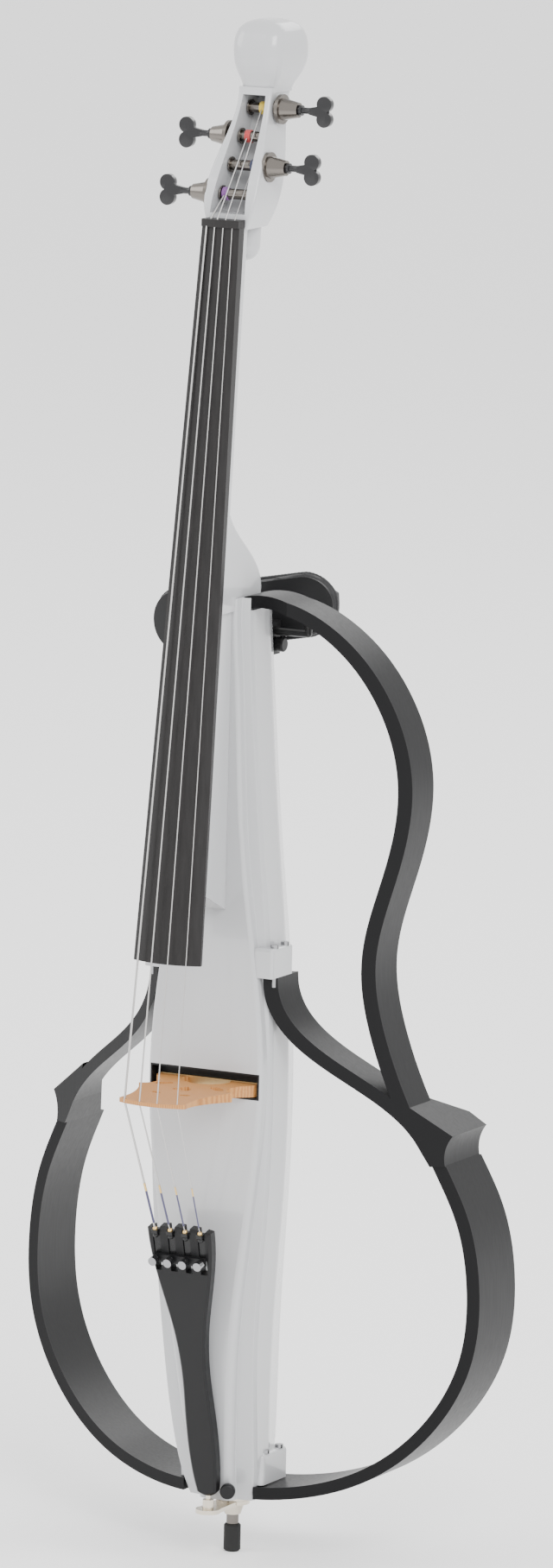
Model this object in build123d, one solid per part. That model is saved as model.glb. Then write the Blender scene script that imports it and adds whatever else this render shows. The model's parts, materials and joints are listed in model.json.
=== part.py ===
"""Full-size silent cello: slim hollow body, open frame on the knees' side, geared pegs, sliding endpin.

Frame: origin under the middle of the endpin's rubber tip, +Z up the instrument, +X to the
player's left (right as seen from the front), -Y towards the front, where the strings are.
Depths are measured back from the body's front face at the bridge. All values in millimetres.
"""
import os
from math import cos, radians, sin

from build123d import *

# ---------------------------------------------------------------- overall layout
bridge_z = 394.0            # height of the bridge above the floor, endpin pushed in
face_y = -66.0              # front face of the body at the bridge
string_run = 690.0          # nut to bridge, measured up the body
bridge_height = 96.0        # strings in front of the body's face at the bridge
nut_height = 7.0            # strings in front of the same plane at the nut
body_top = 395.0            # above the bridge
shoulder = 385.0            # the sides stop lower than the front strip
body_bottom = -345.0
running = 0.05              # radial clearance of a shaft that turns or slides
fit_gap = 0.3               # gap between pieces of different bodies
assembly = 0.15             # gap between fixed pieces that are screwed together

# ---------------------------------------------------------------- body
wall = 5.0
front_wall = 19.0
step_depth = 11.0           # the front strip stands this far proud of the sides
side_depth = 45.0           # depth at which the sides turn into the back
# height above bridge, half width of front, half width of sides, front setback, back depth, edge round
stations = (
    (body_bottom, 15.0, 29.0, 33.0, 98.0, 6.0),
    (-300.0, 20.0, 37.0, 20.0, 97.0, 6.0),
    (-200.0, 30.0, 43.5, 4.0, 93.0, 6.0),
    (-90.0, 44.0, 52.0, 0.0, 92.0, 5.0),
    (10.0, 51.0, 54.0, 0.0, 92.0, 4.0),
    (113.0, 41.0, 49.0, 0.0, 86.0, 3.0),
    (180.0, 31.5, 42.5, 0.0, 80.0, 3.0),
    (250.0, 26.0, 36.0, 0.0, 76.0, 3.0),
    (345.0, 21.0, 29.0, 0.0, 71.0, 3.0),
    (body_top, 19.5, 27.5, 0.0, 68.0, 3.0),
)
cavity_low, cavity_high = -328.0, 310.0
cover_depth = 76.0          # the back cover is the part of the body behind this depth
cover_low, cover_high = -300.0, 150.0

# ---------------------------------------------------------------- bridge and its seat
seat_half, seat_low, seat_high, seat_depth = 49.0, -7.0, 14.0, 14.0
seat_wall = 1.5
bridge_half, bridge_foot, bridge_edge = 45.0, 10.0, 3.0
pickup_thick = 4.0
notch_half = 23.5           # outer strings at the bridge, from the middle
crown_radius = 58.0

# ---------------------------------------------------------------- neck, fingerboard, nut
board_length, board_half_top, board_half_end = 580.0, 16.5, 30.0
board_thick, board_radius = 12.0, 60.0
string_lift = 5.5           # strings above the board's end
nut_notch_half, nut_thick, nut_lift = 11.3, 6.0, 1.0
neck_half_top, neck_half_heel, neck_thick = 14.5, 18.5, 19.0
heel_depth = 52.0           # depth of the heel's back
heel_rise = 42.0            # how far the heel's round reaches above the body
peg_low, peg_high = 692.0, 797.0        # pegbox, above the bridge
peg_front, peg_front_top = 2.0, 50.0
peg_back, peg_back_top = 57.0, 92.0
peg_half, peg_half_top, cheek = 22.0, 15.0, 6.5
chin_low = 660.0
head_top, head_half, head_deep = 850.0, 22.0, 31.0
head_centre_depth = 76.0

# ---------------------------------------------------------------- geared pegs, low to high
peg_first_z, peg_first_depth = 714.0, 23.0
peg_step_z, peg_step_depth = 22.0, 12.6
post_r, bush_r, bush_long, far_wall = 4.2, 12.0, 3.0, 3.6
bell_r, bell_tip_r, bell_long = 9.0, 6.0, 14.0
key_shaft_r, key_reach = 2.6, 27.0
key_half, key_thick = 11.5, 5.0
pegs = (("c", -1), ("a", 1), ("g", -1), ("d", 1))
string_order = ("c", "g", "d", "a")
string_r = {"a": 0.38, "d": 0.48, "g": 0.62, "c": 0.85}

# ---------------------------------------------------------------- tailpiece and fine tuners
tail_top, tail_bottom = -112.0, -340.0
tail_top_front, tail_bottom_front = -40.0, 18.0     # depth of its front face
tail_thick = 9.0
lever_thick, lever_long = 3.0, 24.0
tuner_screw_r, tuner_head_r, tuner_head_long = 1.6, 3.6, 6.0
lever_pin_r = 1.2

# ---------------------------------------------------------------- endpin
rod_r, rod_length = 5.0, 400.0
tip_r, tip_length, tip_floor, tip_round = 6.9, 23.0, 4.0, 1.5
socket_r, socket_length = 11.0, 42.0
flange_r, flange_thick, collar_r, collar_long = 13.7, 9.0, 6.6, 9.0
lock_angle, lock_rise, knob_r, knob_long, knob_from, lock_r = 21.5, -335.0, 6.2, 8.0, 40.0, 2.0
hanger_r, hanger_thick, hook_r = 10.0, 3.5, 2.0

# ---------------------------------------------------------------- open frame
band = 10.0                 # thickness of the bent strips
upper_depth, strut_depth = 38.0, 36.0
sweep_start, sweep_slope = 36.0, 0.57   # the front edges lie further back the further out they are
foot_front = 12.5           # front edge of the upper frame where it leaves the shoulder
corner_start, corner_end, corner_back = 145.0, 168.0, 140.0
low_start, low_front, low_back = 27.0, 38.0, 96.0
low_slope, low_back_slope = 0.29, 0.33
frame_far = 240.0
upper_curve = ((19.8, 395.5), (57.0, 394.0), (93.0, 371.0), (130.0, 318.0), (147.5, 246.0), (139.0, 176.0),
               (125.2, 107.0), (133.0, 45.0), (151.0, -12.0))
lower_curve = ((57.5, 91.9), (68.0, 56.0), (95.0, 28.0), (127.0, 4.0), (158.0, -26.0), (177.0, -60.0),
               (194.0, -98.0), (205.5, -160.0), (200.0, -222.0), (170.0, -280.0), (118.0, -323.0),
               (70.0, -339.0), (31.5, -342.5))
horn = ((143.0, -6.0), (181.5, -35.0), (176.0, -54.0), (182.0, -76.0), (193.0, -97.0))
split_rise = -60.0          # joint between strut and lower bout
bracket_low, bracket_high, bracket_out = 92.0, 116.0, 57.8
flange_low, flange_high, flange_out = -331.5, -306.0, 38.0
screw_head_r, screw_head_long, screw_r = 3.4, 2.4, 2.0

# ---------------------------------------------------------------- chest rest
pad_rise, pad_depth, pad_tilt, pad_shift = 368.0, 94.5, 11.0, -30.0
pad_half, pad_tall, pad_thick, pad_bend = 86.0, 54.0, 12.0, 230.0
plate_thick = 2.5
wire_r, wire_rise, wire_half, wire_depth, wire_up = 3.0, 360.0, 44.0, 78.5, 14.0
clamp_half, clamp_low, clamp_high, clamp_back = 15.0, 341.0, 368.0, 86.0
wheel_r, wheel_long, wheel_rise, wheel_stem_r = 6.0, 8.0, 349.5, 2.0

# ---------------------------------------------------------------- electronics
panel_rise, panel_half, panel_x = 250.0, 44.0, -29.5
panel_thick, panel_front, panel_back = 2.0, 20.0, 44.0
jacks = (("line", 222.0, 3.2), ("phones", 238.0, 1.8), ("aux", 250.0, 1.8))
jack_wall, jack_long = 1.6, 14.0
volume_rise, volume_r, volume_long = 266.0, 7.0, 9.0
switch_rise, switch_half, switch_travel = 283.0, 3.0, 4.0
door_rise, door_half, door_tall, door_thick = -60.0, 19.0, 66.0, 2.5
hinge_r, hinge_lap = 1.4, 0.8    # hinge barrel, and how far its web reaches past the barrel's middle
door_swing = 1.0            # room below the door for its lower corner as it opens
cell_r, cell_long = 7.0, 50.0
board_half, board_low, board_high, board_back = 14.0, 160.0, 236.0, 52.0
rib_rises, rib_thick, rib_hole, cover_screw_x = (-285.0, 140.0), 10.0, 6.5, 14.0


def at(x, depth, rise):
    """Point from sideways place, depth behind the front face and height above the bridge."""
    return Vector(x, face_y + depth, bridge_z + rise)


def block(x0, x1, depth0, depth1, rise0, rise1):
    """Rectangular block between two corners."""
    low = at(x0, depth0, rise0)
    return Pos(low.X, low.Y, low.Z) * Box(
        x1 - x0, depth1 - depth0, rise1 - rise0, align=(Align.MIN, Align.MIN, Align.MIN)
    )


def rod(start, end, radius):
    """Round bar between two points."""
    line = Line(start, end)
    return extrude(Plane(origin=start, z_dir=end - start) * Circle(radius), amount=line.length)


def cone(start, end, r0, r1):
    """Tapered round bar between two points."""
    along = end - start
    body = Cone(r0, r1, along.length, align=(Align.CENTER, Align.CENTER, Align.MIN))
    return Plane(origin=start, z_dir=along) * body


def string_depth(rise):
    """Depth of the plane of the strings (negative: in front of the face)."""
    share = rise / string_run
    return -(bridge_height * (1 - share) + nut_height * share)


def save(name, *solids):
    """Write one node; several solids share it as a group."""
    parts = [solid for piece in solids for solid in piece.solids()]
    shape = parts[0] if len(parts) == 1 else Compound(children=parts)
    shape.label = name
    export_step(shape, f"parts/{name}.step")
    return shape


# ================================================================= body
def station_at(rise):
    """Body sizes at any height, by straight lines between the stations."""
    for low, high in zip(stations, stations[1:]):
        if low[0] <= rise <= high[0]:
            share = (rise - low[0]) / (high[0] - low[0])
            return tuple(a + (b - a) * share for a, b in zip(low, high))
    raise ValueError("height outside the body")


def section(rise, front, side, setback, back, edge):
    """Closed outline of the body at one height."""
    half = (
        (front, setback),
        (front + 0.6, setback + step_depth - 2),
        (side - 1.5, setback + step_depth),
        (side, setback + step_depth + 4),
        (side * 0.97, side_depth + setback * 0.6),
        (side * 0.62, back),
    )
    radii = (edge, 0.8, 0.8, 2.5, 14.0, 13.0)
    outline = [at(x, depth, rise) for x, depth in half]
    outline += [at(-x, depth, rise) for x, depth in reversed(half)]
    return make_face(FilletPolyline(*outline, radius=list(radii + radii[::-1]), close=True))


def body_block():
    """The body's outside as one solid."""
    return loft([section(*station) for station in stations])


def cavity():
    """The hollow that holds the endpin and the electronics."""
    faces = []
    rises = [cavity_low] + [s[0] for s in stations if cavity_low + 20 < s[0] < cavity_high - 20]
    for rise in rises + [cavity_high]:
        _, _, side, setback, back, _ = station_at(rise)
        half = (
            (side - wall - 4, setback + front_wall),
            (side - wall - 4, side_depth + setback * 0.6 + 4),
            (side * 0.62 - wall, back - wall),
        )
        outline = [at(x, depth, rise) for x, depth in half]
        outline += [at(-x, depth, rise) for x, depth in reversed(half)]
        faces.append(make_face(FilletPolyline(*outline, radius=[5, 8, 7, 7, 8, 5], close=True)))
    return loft(faces)


def lock_frame():
    """Plane at the endpin's axis whose normal points out along the lock screw."""
    out = Vector(sin(radians(lock_angle)), -cos(radians(lock_angle)), 0)
    return Plane(origin=(0, 0, bridge_z + lock_rise), z_dir=out)


def door_pocket(gap):
    """Room for the battery door, its hinge along the lower edge."""
    low = door_rise - door_tall / 2
    return block(-door_half - gap, door_half + gap, cover_depth - 5, 120, low - door_swing,
                 low + door_tall + gap)


def make_body(outside):
    """Hollow body shell and its back cover, with everything that is cut into them."""
    hollow = cavity()
    cover = (outside & block(-80, 80, cover_depth, 120, cover_low, cover_high)) - hollow
    gap = assembly
    shell = outside - hollow
    shell -= block(-80, 80, cover_depth - gap, 120, cover_low - gap, cover_high + gap)
    shell -= block(-80, 80, step_depth + 1, 120, shoulder, body_top + 1)
    shell -= block(-seat_half, seat_half, -5, seat_depth, seat_low, seat_high)
    floor = at(0, -face_y, body_bottom)
    shell -= rod(floor - Vector(0, 0, 5), floor + Vector(0, 0, 30), socket_r)
    shell -= extrude(lock_frame() * Circle(lock_r + fit_gap), amount=60)
    low, high = panel_rise - panel_half, panel_rise + panel_half
    shell -= block(-80, panel_x, panel_front, panel_back, low, high)
    inset = 3.0
    shell -= block(-80, -10, panel_front + inset, panel_back - inset, low + inset, high - inset)
    cover -= door_pocket(fit_gap)
    for rise in rib_rises:
        rib = hollow & block(-80, 80, -20, cover_depth - gap, rise - rib_thick / 2, rise + rib_thick / 2)
        shell += rib - rod(at(0, -face_y, rise - rib_thick), at(0, -face_y, rise + rib_thick), rib_hole)
    screws = cover_screws()
    for screw in screws:
        shell -= screw
        cover -= screw
    return shell, cover, screws


def cover_screws():
    """Screws that hold the back cover to the ribs."""
    return [
        screw_at(at(side * cover_screw_x, station_at(rise)[4] - 2, rise), Vector(0, -1, 0), 16.0)
        for rise in rib_rises for side in (-1, 1)
    ]


def screw_at(head, way, length):
    """Round-headed screw: the head's underside lies at the given point."""
    stem = rod(head, head + way * length, screw_r)
    return stem + rod(head - way * screw_head_long, head + way * 0.5, screw_head_r)


# ================================================================= neck
def neck_section(rise, half, front, back, round_r):
    """Closed outline across the neck."""
    corners = [at(-half, front, rise), at(half, front, rise), at(half * 0.8, back, rise),
               at(-half * 0.8, back, rise)]
    return make_face(FilletPolyline(*corners, radius=[1, 1, round_r, round_r], close=True))


def board_depth(rise):
    """Depth of the underside of the fingerboard."""
    return string_depth(rise) + lift_at(rise) + board_thick


def lift_at(rise):
    """Clearance of the strings over the fingerboard."""
    share = (rise - (string_run - board_length)) / board_length
    return string_lift + (nut_lift - string_lift) * share


def make_neck():
    """Neck, heel, foot that carries the fingerboard over the body, pegbox and head."""
    top = string_run
    shaft = loft([
        neck_section(top, neck_half_top, board_depth(top), board_depth(top) + neck_thick, 9),
        neck_section(body_top + heel_rise + 25, neck_half_heel, board_depth(body_top + 60),
                     board_depth(body_top + 60) + neck_thick + 2, 9),
    ])
    heel_low = shoulder + assembly
    heel = loft([
        neck_section(body_top + heel_rise + 25, neck_half_heel, board_depth(body_top + 67),
                     board_depth(body_top + 67) + neck_thick + 2, 9),
        neck_section(body_top + heel_rise - 8, neck_half_heel,
                     board_depth(body_top + 40), heel_depth - 16, 9),
        neck_section(body_top + heel_rise / 2, neck_half_heel + 0.5,
                     board_depth(body_top + 20), heel_depth - 3, 9),
        neck_section(heel_low, neck_half_heel + 1, board_depth(heel_low), heel_depth, 9),
    ]) - block(-40, 40, -assembly, step_depth + 1 + assembly, heel_low - 1, body_top + assembly)
    foot_low = string_run - board_length + 60
    foot_half = neck_half_heel - 3
    foot = extrude(
        Plane.YZ.offset(-foot_half)
        * make_face(Polyline(
            *[(face_y + depth, bridge_z + rise) for depth, rise in (
                (board_depth(body_top), body_top + 10), (board_depth(foot_low), foot_low),
                (-assembly, foot_low - 25), (-assembly, body_top + 10),
            )],
            close=True,
        )),
        amount=2 * foot_half,
    )
    whole = shaft + heel + foot + make_pegbox() + make_head()
    nut_seat = block(-board_half_top - 1, board_half_top + 1, -30, board_depth(string_run),
                     string_run, string_run + nut_thick + assembly)
    return whole - pegbox_channel() - make_board() - nut_seat


def peg_line(rise, low_value, high_value):
    """Straight line along the pegbox."""
    return low_value + (rise - peg_low) / (peg_high - peg_low) * (high_value - low_value)


def make_pegbox():
    """Leaning block that holds the pegs, with the rounded chin behind the neck."""
    def ring(rise, half, front, back):
        corners = [at(-half, front, rise), at(half, front, rise), at(half * 0.86, back, rise),
                   at(-half * 0.86, back, rise)]
        return make_face(FilletPolyline(*corners, radius=[2, 2, 7, 7], close=True))
    middle = (peg_low + peg_high) / 2
    box = loft([
        ring(peg_low - 4, neck_half_top + 2.5, board_depth(peg_low) + 1, peg_back - 4),
        ring(peg_low + 12, peg_half, peg_line(peg_low + 12, peg_front, peg_front_top), peg_back + 4),
        ring(middle, peg_half - 1.5, peg_line(middle, peg_front, peg_front_top),
             peg_line(middle, peg_back, peg_back_top) + 1),
        ring(peg_high, peg_half_top, peg_front_top, peg_back_top),
    ])
    chin_r = 12.0
    chin = Pos(*at(0, peg_back - chin_r - 6, chin_low + chin_r)) * Sphere(chin_r)
    stem = rod(at(0, peg_back - chin_r - 6, chin_low + chin_r),
               at(0, peg_back - chin_r - 4, peg_low + 4), chin_r)
    return box + chin + stem


def pegbox_channel():
    """Open front of the pegbox, where the strings reach the posts."""
    low, high = peg_low + 8, peg_high - 6
    floor_low = peg_line(low, peg_back, peg_back_top) - 13
    floor_high = peg_line(high, peg_back, peg_back_top) - 15
    outline = make_face(Polyline(
        *[(face_y + depth, bridge_z + rise) for depth, rise in (
            (-30, low), (floor_low - 18, low), (floor_low, low + 16), (floor_high, high - 4),
            (floor_high - 14, high), (-30, high),
        )],
        close=True,
    ))
    half = peg_half - cheek
    wide = extrude(Plane.YZ.offset(-half) * outline, amount=2 * half)
    narrow_half = peg_half_top - cheek + 1.5
    taper = loft([
        make_face(Polyline(at(-half, -30, low), at(half, -30, low), at(half, 120, low), at(-half, 120, low),
                           close=True)),
        make_face(Polyline(at(-narrow_half, -30, high), at(narrow_half, -30, high),
                           at(narrow_half, 120, high), at(-narrow_half, 120, high), close=True)),
    ])
    channel = wide & taper
    for name, side in pegs:
        channel += peg_hole(name, side)
    return channel


def head_ring(rise, half, deep, depth):
    """Soft-cornered outline across the head."""
    corners = [at(-half, depth - deep, rise), at(half, depth - deep, rise), at(half, depth + deep, rise),
               at(-half, depth + deep, rise)]
    return make_face(FilletPolyline(*corners, radius=[min(half, deep) * 0.55] * 4, close=True))


def make_head():
    """Smooth modern head block in place of a carved scroll."""
    low = peg_high - 4
    tall = head_top - low
    waist_depth = (peg_front_top + peg_back_top) / 2
    rings = (
        (0.0, peg_half_top, 20.0, waist_depth),
        (0.16, peg_half_top + 1.5, 24.0, head_centre_depth - 2),
        (0.34, head_half - 2, head_deep - 1, head_centre_depth),
        (0.62, head_half, head_deep, head_centre_depth),
        (0.86, head_half - 2, head_deep - 6, head_centre_depth - 1),
        (0.97, head_half - 9, head_deep - 15, head_centre_depth - 2),
        (1.0, head_half - 15, head_deep - 22, head_centre_depth - 2),
    )
    return loft([head_ring(low + share * tall, half, deep, depth) for share, half, deep, depth in rings])


# ================================================================= pegs
def peg_place(name):
    """Depth and height of one peg's axis, and the half width of the pegbox there."""
    number = [peg for peg, _ in pegs].index(name)
    rise = peg_first_z + number * peg_step_z
    return peg_first_depth + number * peg_step_depth, rise, peg_line(rise, peg_half, peg_half_top) + 1.2


def peg_hole(name, side):
    """Hole for the post, blind in the far cheek and wider on the key's side for the gear case."""
    depth, rise, half = peg_place(name)
    far, near = at(-side * (half - far_wall), depth, rise), at(side * (half + 8), depth, rise)
    blind = rod(far, near, post_r + running)
    seat = rod(at(side * (half - cheek * 0.6), depth, rise), at(side * (half + 8), depth, rise), bell_r - 1)
    flange = rod(at(side * half, depth, rise), at(side * (half + 8), depth, rise), bush_r + assembly)
    return blind + seat + flange


def make_peg(name, side):
    """One geared peg: fixed gear case with flange, string post, key on its input shaft."""
    depth, rise, half = peg_place(name)
    case_in, flange_out = half - cheek * 0.6 + assembly, half + bush_long
    along = lambda reach: at(side * reach, depth, rise)
    post = rod(along(-half + far_wall + fit_gap), along(case_in + 1.5), post_r)
    post += rod(along(-half + cheek + 1.6), along(-half + cheek + 2.8), post_r + 2.2)
    post += rod(along(half - cheek - 3.4), along(half - cheek - 2.2), post_r + 2.2)
    stub_end = case_in + 8
    post += rod(along(case_in), along(stub_end), bell_r - 4.5)
    case = rod(along(case_in), along(half + 0.1), bell_r - 1 - assembly)
    case += rod(along(half + 0.1), along(flange_out), bush_r)
    case += cone(along(flange_out), along(flange_out + bell_long), bell_r, bell_tip_r)
    case -= rod(along(case_in - 1), along(case_in + 1.5 + fit_gap), post_r + running)
    case -= rod(along(case_in), along(stub_end + fit_gap), bell_r - 4.5 + running)
    case -= rod(along(stub_end), along(flange_out + bell_long + 1), key_shaft_r + running)
    key_in = flange_out + bell_long
    shaft = rod(along(stub_end + 2 * fit_gap), along(key_in + key_reach * 0.4), key_shaft_r)
    shaft += rod(along(key_in + fit_gap), along(key_in + 3), key_shaft_r + 1.6)
    wing = key_wing(along(key_in + key_reach * 0.35), side)
    return post, case, shaft + wing


def key_wing(root, side):
    """Heart-shaped thumb piece, flat across Y, rounded at both lobes."""
    lobe = key_half * 0.56
    length = key_half * 1.35
    sketch = make_face(Polyline((0, -2.6), (length, -lobe * 0.9), (length, lobe * 0.9), (0, 2.6), close=True))
    sketch += Pos(length * 0.86, lobe * 0.92) * Circle(lobe)
    sketch += Pos(length * 0.86, -lobe * 0.92) * Circle(lobe)
    plane = Plane(origin=root, x_dir=(side, 0, 0), z_dir=(0, -1, 0))
    return extrude(plane * sketch, amount=key_thick / 2, both=True)


# ================================================================= strings, nut, bridge, board
def string_side(name):
    """Sideways share of one string, -1 for the lowest to +1 for the highest."""
    return -1 + 2 * string_order.index(name) / 3


def crown(x, radius):
    """How far a crowned surface falls at x from its middle."""
    return radius - (radius**2 - x**2) ** 0.5


def string_points(name):
    """Lever, bridge, nut and post ends of one string."""
    share = string_side(name)
    x_bridge, x_nut = share * notch_half, share * nut_notch_half
    bridge_point = at(x_bridge, -bridge_height + crown(x_bridge, crown_radius), 0)
    nut_point = at(x_nut, -nut_height + crown(x_nut, board_radius), string_run)
    depth, rise, _ = peg_place(name)
    post_point = at(x_nut * 0.8, depth - post_r - string_r[name] - fit_gap, rise - 1.5)
    plane, _ = tail_plane()
    tail_point = plane.from_local_coords(Vector(share * notch_half * 0.86, 0.5, 0.6))
    return tail_point, bridge_point, nut_point, post_point


def make_string(name):
    """One string from its ball at the fine tuner to the post."""
    points = string_points(name)
    radius = string_r[name]
    solid = rod(points[0], points[1], radius)
    for start, end in zip(points[1:], points[2:]):
        solid += rod(start, end, radius)
    for corner in points[1:3]:
        solid += Pos(corner.X, corner.Y, corner.Z) * Sphere(radius)
    return solid


def string_space():
    """The strings' paths with room around them, for the notches."""
    space = None
    for name in string_order:
        points = string_points(name)
        for start, end in zip(points, points[1:]):
            piece = rod(start, end, string_r[name] + running)
            space = piece if space is None else space + piece
        for corner in points[1:3]:
            space += Pos(corner.X, corner.Y, corner.Z) * Sphere(string_r[name] + running)
    return space


def make_board():
    """Crowned fingerboard from the nut to its free end over the body."""
    low = string_run - board_length
    def ring(rise, half):
        top = string_depth(rise) + lift_at(rise)
        edge = top + crown(half, board_radius)
        base = board_depth(rise)
        arc = ThreePointArc(at(-half, edge, rise), at(0, top, rise), at(half, edge, rise))
        sides = Polyline(at(half, edge, rise), at(half * 0.97, base, rise), at(-half * 0.97, base, rise),
                         at(-half, edge, rise))
        return make_face(Wire([*arc.edges(), *sides.edges()]))
    return loft([ring(low, board_half_end), ring(string_run - assembly, board_half_top)])


def make_nut(space):
    """Nut across the top of the fingerboard, notched for the strings."""
    base = board_depth(string_run)
    radius = board_radius
    top = -nut_height - 0.6
    arc = ThreePointArc(
        at(-board_half_top, top + crown(board_half_top, radius), string_run),
        at(0, top, string_run),
        at(board_half_top, top + crown(board_half_top, radius), string_run),
    )
    sides = Polyline(arc @ 1, at(board_half_top, base, string_run),
                     at(-board_half_top, base, string_run), arc @ 0)
    face = make_face(Wire([*arc.edges(), *sides.edges()]))
    return extrude(face, amount=nut_thick, dir=(0, 0, 1)) - space


def make_bridge(space):
    """Arched bridge with heart and side cut-outs, thin at the crown and thick at the feet."""
    stand = seat_depth - seat_wall - pickup_thick
    tall = bridge_height + stand
    top_half = notch_half + 6
    crown_edge = tall + 0.6 - crown(top_half, crown_radius)
    right = [
        (bridge_half, 0), (bridge_half - 1, 7), (bridge_half - 9, 16), (bridge_half - 13, 30),
        (bridge_half - 3, 41), (bridge_half - 8, 50), (top_half + 2, 64), (top_half, crown_edge),
    ]
    left = [(-x, y) for x, y in reversed(right)]
    arch = [(-bridge_half + 26, 0), (-bridge_half + 24, 8), (-10, 20), (10, 20), (bridge_half - 24, 8),
            (bridge_half - 26, 0)]
    crown_arc = ThreePointArc((top_half, crown_edge), (0, tall + 0.6), (-top_half, crown_edge))
    outline = Wire([
        *Spline(*right[:5]).edges(), *Spline(*right[4:]).edges(), *crown_arc.edges(),
        *Spline(*left[:4]).edges(), *Spline(*left[3:]).edges(),
        *Line(left[-1], arch[0]).edges(), *Spline(*arch).edges(), *Line(arch[-1], right[0]).edges(),
    ])
    face = make_face(outline)
    heart = Pos(-3.4, 47) * Circle(4.2) + Pos(3.4, 47) * Circle(4.2)
    heart += make_face(Polyline((-7.2, 45), (7.2, 45), (0, 36), close=True))
    face -= heart
    for side in (-1, 1):
        face -= Pos(side * 24, 33) * Rot(0, 0, side * 35) * Ellipse(8, 4)
        face -= Pos(side * 13, 66) * Rot(0, 0, -side * 15) * Ellipse(4.5, 2.3)
    upright = Plane(origin=at(0, stand, 0), x_dir=(-1, 0, 0), z_dir=(0, 0, 1))
    solid = extrude(upright * face, amount=bridge_foot / 2, both=True)
    taper = extrude(
        Plane.YZ.offset(-60) * make_face(Polyline(
            *[(face_y + depth, bridge_z + rise) for depth, rise in (
                (stand + 1, -bridge_foot / 2), (stand + 1, bridge_foot / 2),
                (-bridge_height - 2, bridge_edge / 2), (-bridge_height - 2, -bridge_edge / 2),
            )],
            close=True,
        )),
        amount=120,
    )
    return (solid & taper) - space


def make_seat():
    """Black tray that lines the bridge's recess, and the pickup bar in it."""
    tray = block(-seat_half + assembly, seat_half - assembly, 0, seat_depth, seat_low + assembly,
                 seat_high - assembly)
    tray -= block(-seat_half + seat_wall, seat_half - seat_wall, -1, seat_depth - seat_wall,
                  seat_low + seat_wall, seat_high - seat_wall)
    low, high = -bridge_foot / 2 - 0.5, bridge_foot / 2 + 0.5
    bar = block(-bridge_half - 1, bridge_half + 1, seat_depth - seat_wall - pickup_thick,
                seat_depth - seat_wall, low, high)
    return tray, bar


# ================================================================= tailpiece
def tail_front(rise):
    """Depth of the tailpiece's front face."""
    share = (rise - tail_top) / (tail_bottom - tail_top)
    return tail_top_front + share * (tail_bottom_front - tail_top_front)


def tail_plane():
    """Plane on the tailpiece's front face, x across, y up it, normal to the front."""
    low, high = at(0, tail_front(tail_bottom), tail_bottom), at(0, tail_front(tail_top), tail_top)
    up = high - low
    return Plane(origin=high, x_dir=(1, 0, 0), z_dir=Vector(1, 0, 0).cross(up)), up.length


def make_tailpiece():
    """Black tailpiece: broad top with four levers, slender waist, flared foot."""
    plane, length = tail_plane()
    right = [(28.5, 0), (24.0, -42), (14.5, -88), (11.0, -130), (12.0, -165), (12.0, -198),
             (8.5, -length + 3)]
    right_edge = Spline(*right)
    left_edge = Spline(*[(-x, y) for x, y in reversed(right)])
    outline = Wire([
        *right_edge.edges(), *ThreePointArc(right[-1], (0, -length), (-right[-1][0], right[-1][1])).edges(),
        *left_edge.edges(), *ThreePointArc((-28.5, 0), (0, 3), (28.5, 0)).edges(),
    ])
    solid = extrude(plane * make_face(outline), amount=-tail_thick)
    front = [edge for edge in solid.edges() if abs(plane.to_local_coords(edge.center()).Z) < 0.01]
    solid = chamfer(front, 2.0)
    for name in string_order:
        solid -= lever_pocket(name)
    return solid - hook_pin(hook_r + assembly)


def hook_pin(radius):
    """Pin of the hanger that the tailpiece's foot sits on."""
    foot = at(0, tail_front(tail_bottom) + tail_thick / 2, body_bottom - flange_thick)
    return rod(foot, foot + Vector(0, 0, flange_thick + 22), radius)


def lever_frame(name):
    """Plane of one lever's pivot, y up the tailpiece, normal to the front."""
    plane, _ = tail_plane()
    x = string_side(name) * notch_half * 0.86
    return plane.offset(-tail_thick / 2) * Pos(x, -16, 0), x


def lever_pocket(name):
    """Slot in the tailpiece for one lever."""
    place, _ = lever_frame(name)
    return place * Box(6.4, 40, 30)


def make_lever(name):
    """Fine-tuner lever: pivots on its pin, holds the string's ball, pushed by its screw."""
    place, _ = lever_frame(name)
    arm = place * Pos(0, 4, 2.0) * Box(5.4, lever_long, lever_thick)
    boss = place * Rot(0, 90, 0) * Cylinder(3.2, 5.4)
    fork = place * Pos(0, 14.6, 4.6) * Box(5.4, 3.0, 6.0)
    hole = place * Rot(0, 90, 0) * Cylinder(lever_pin_r + running, 8)
    ball = place * Pos(0, 11.2, tail_thick / 2 + 0.6) * Sphere(2.4)
    return (arm + boss + fork + ball) - hole


def make_lever_pin(name):
    """Pivot pin across one slot."""
    place, _ = lever_frame(name)
    return place * Rot(0, 90, 0) * Cylinder(lever_pin_r, 6.4)


def make_tuner_screw(name):
    """Knurled screw that tips one lever."""
    place, _ = lever_frame(name)
    foot = 2.0 + lever_thick / 2 + fit_gap
    head = place * Pos(0, -8, foot + 6 + tuner_head_long / 2) * Cylinder(tuner_head_r, tuner_head_long)
    stem = place * Pos(0, -8, foot + 3.2) * Cylinder(tuner_screw_r, 6.4)
    return head + stem


def make_tuner_bridge():
    """Plate across the slots that the fine-tuner screws run in."""
    plane, _ = tail_plane()
    solid = plane * Pos(0, -24, 1.6) * Box(46, 7, 3.2)
    for name in string_order:
        place, _ = lever_frame(name)
        solid -= place * Pos(0, -8, 10) * Cylinder(tuner_screw_r + running, 20)
    return solid


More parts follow.
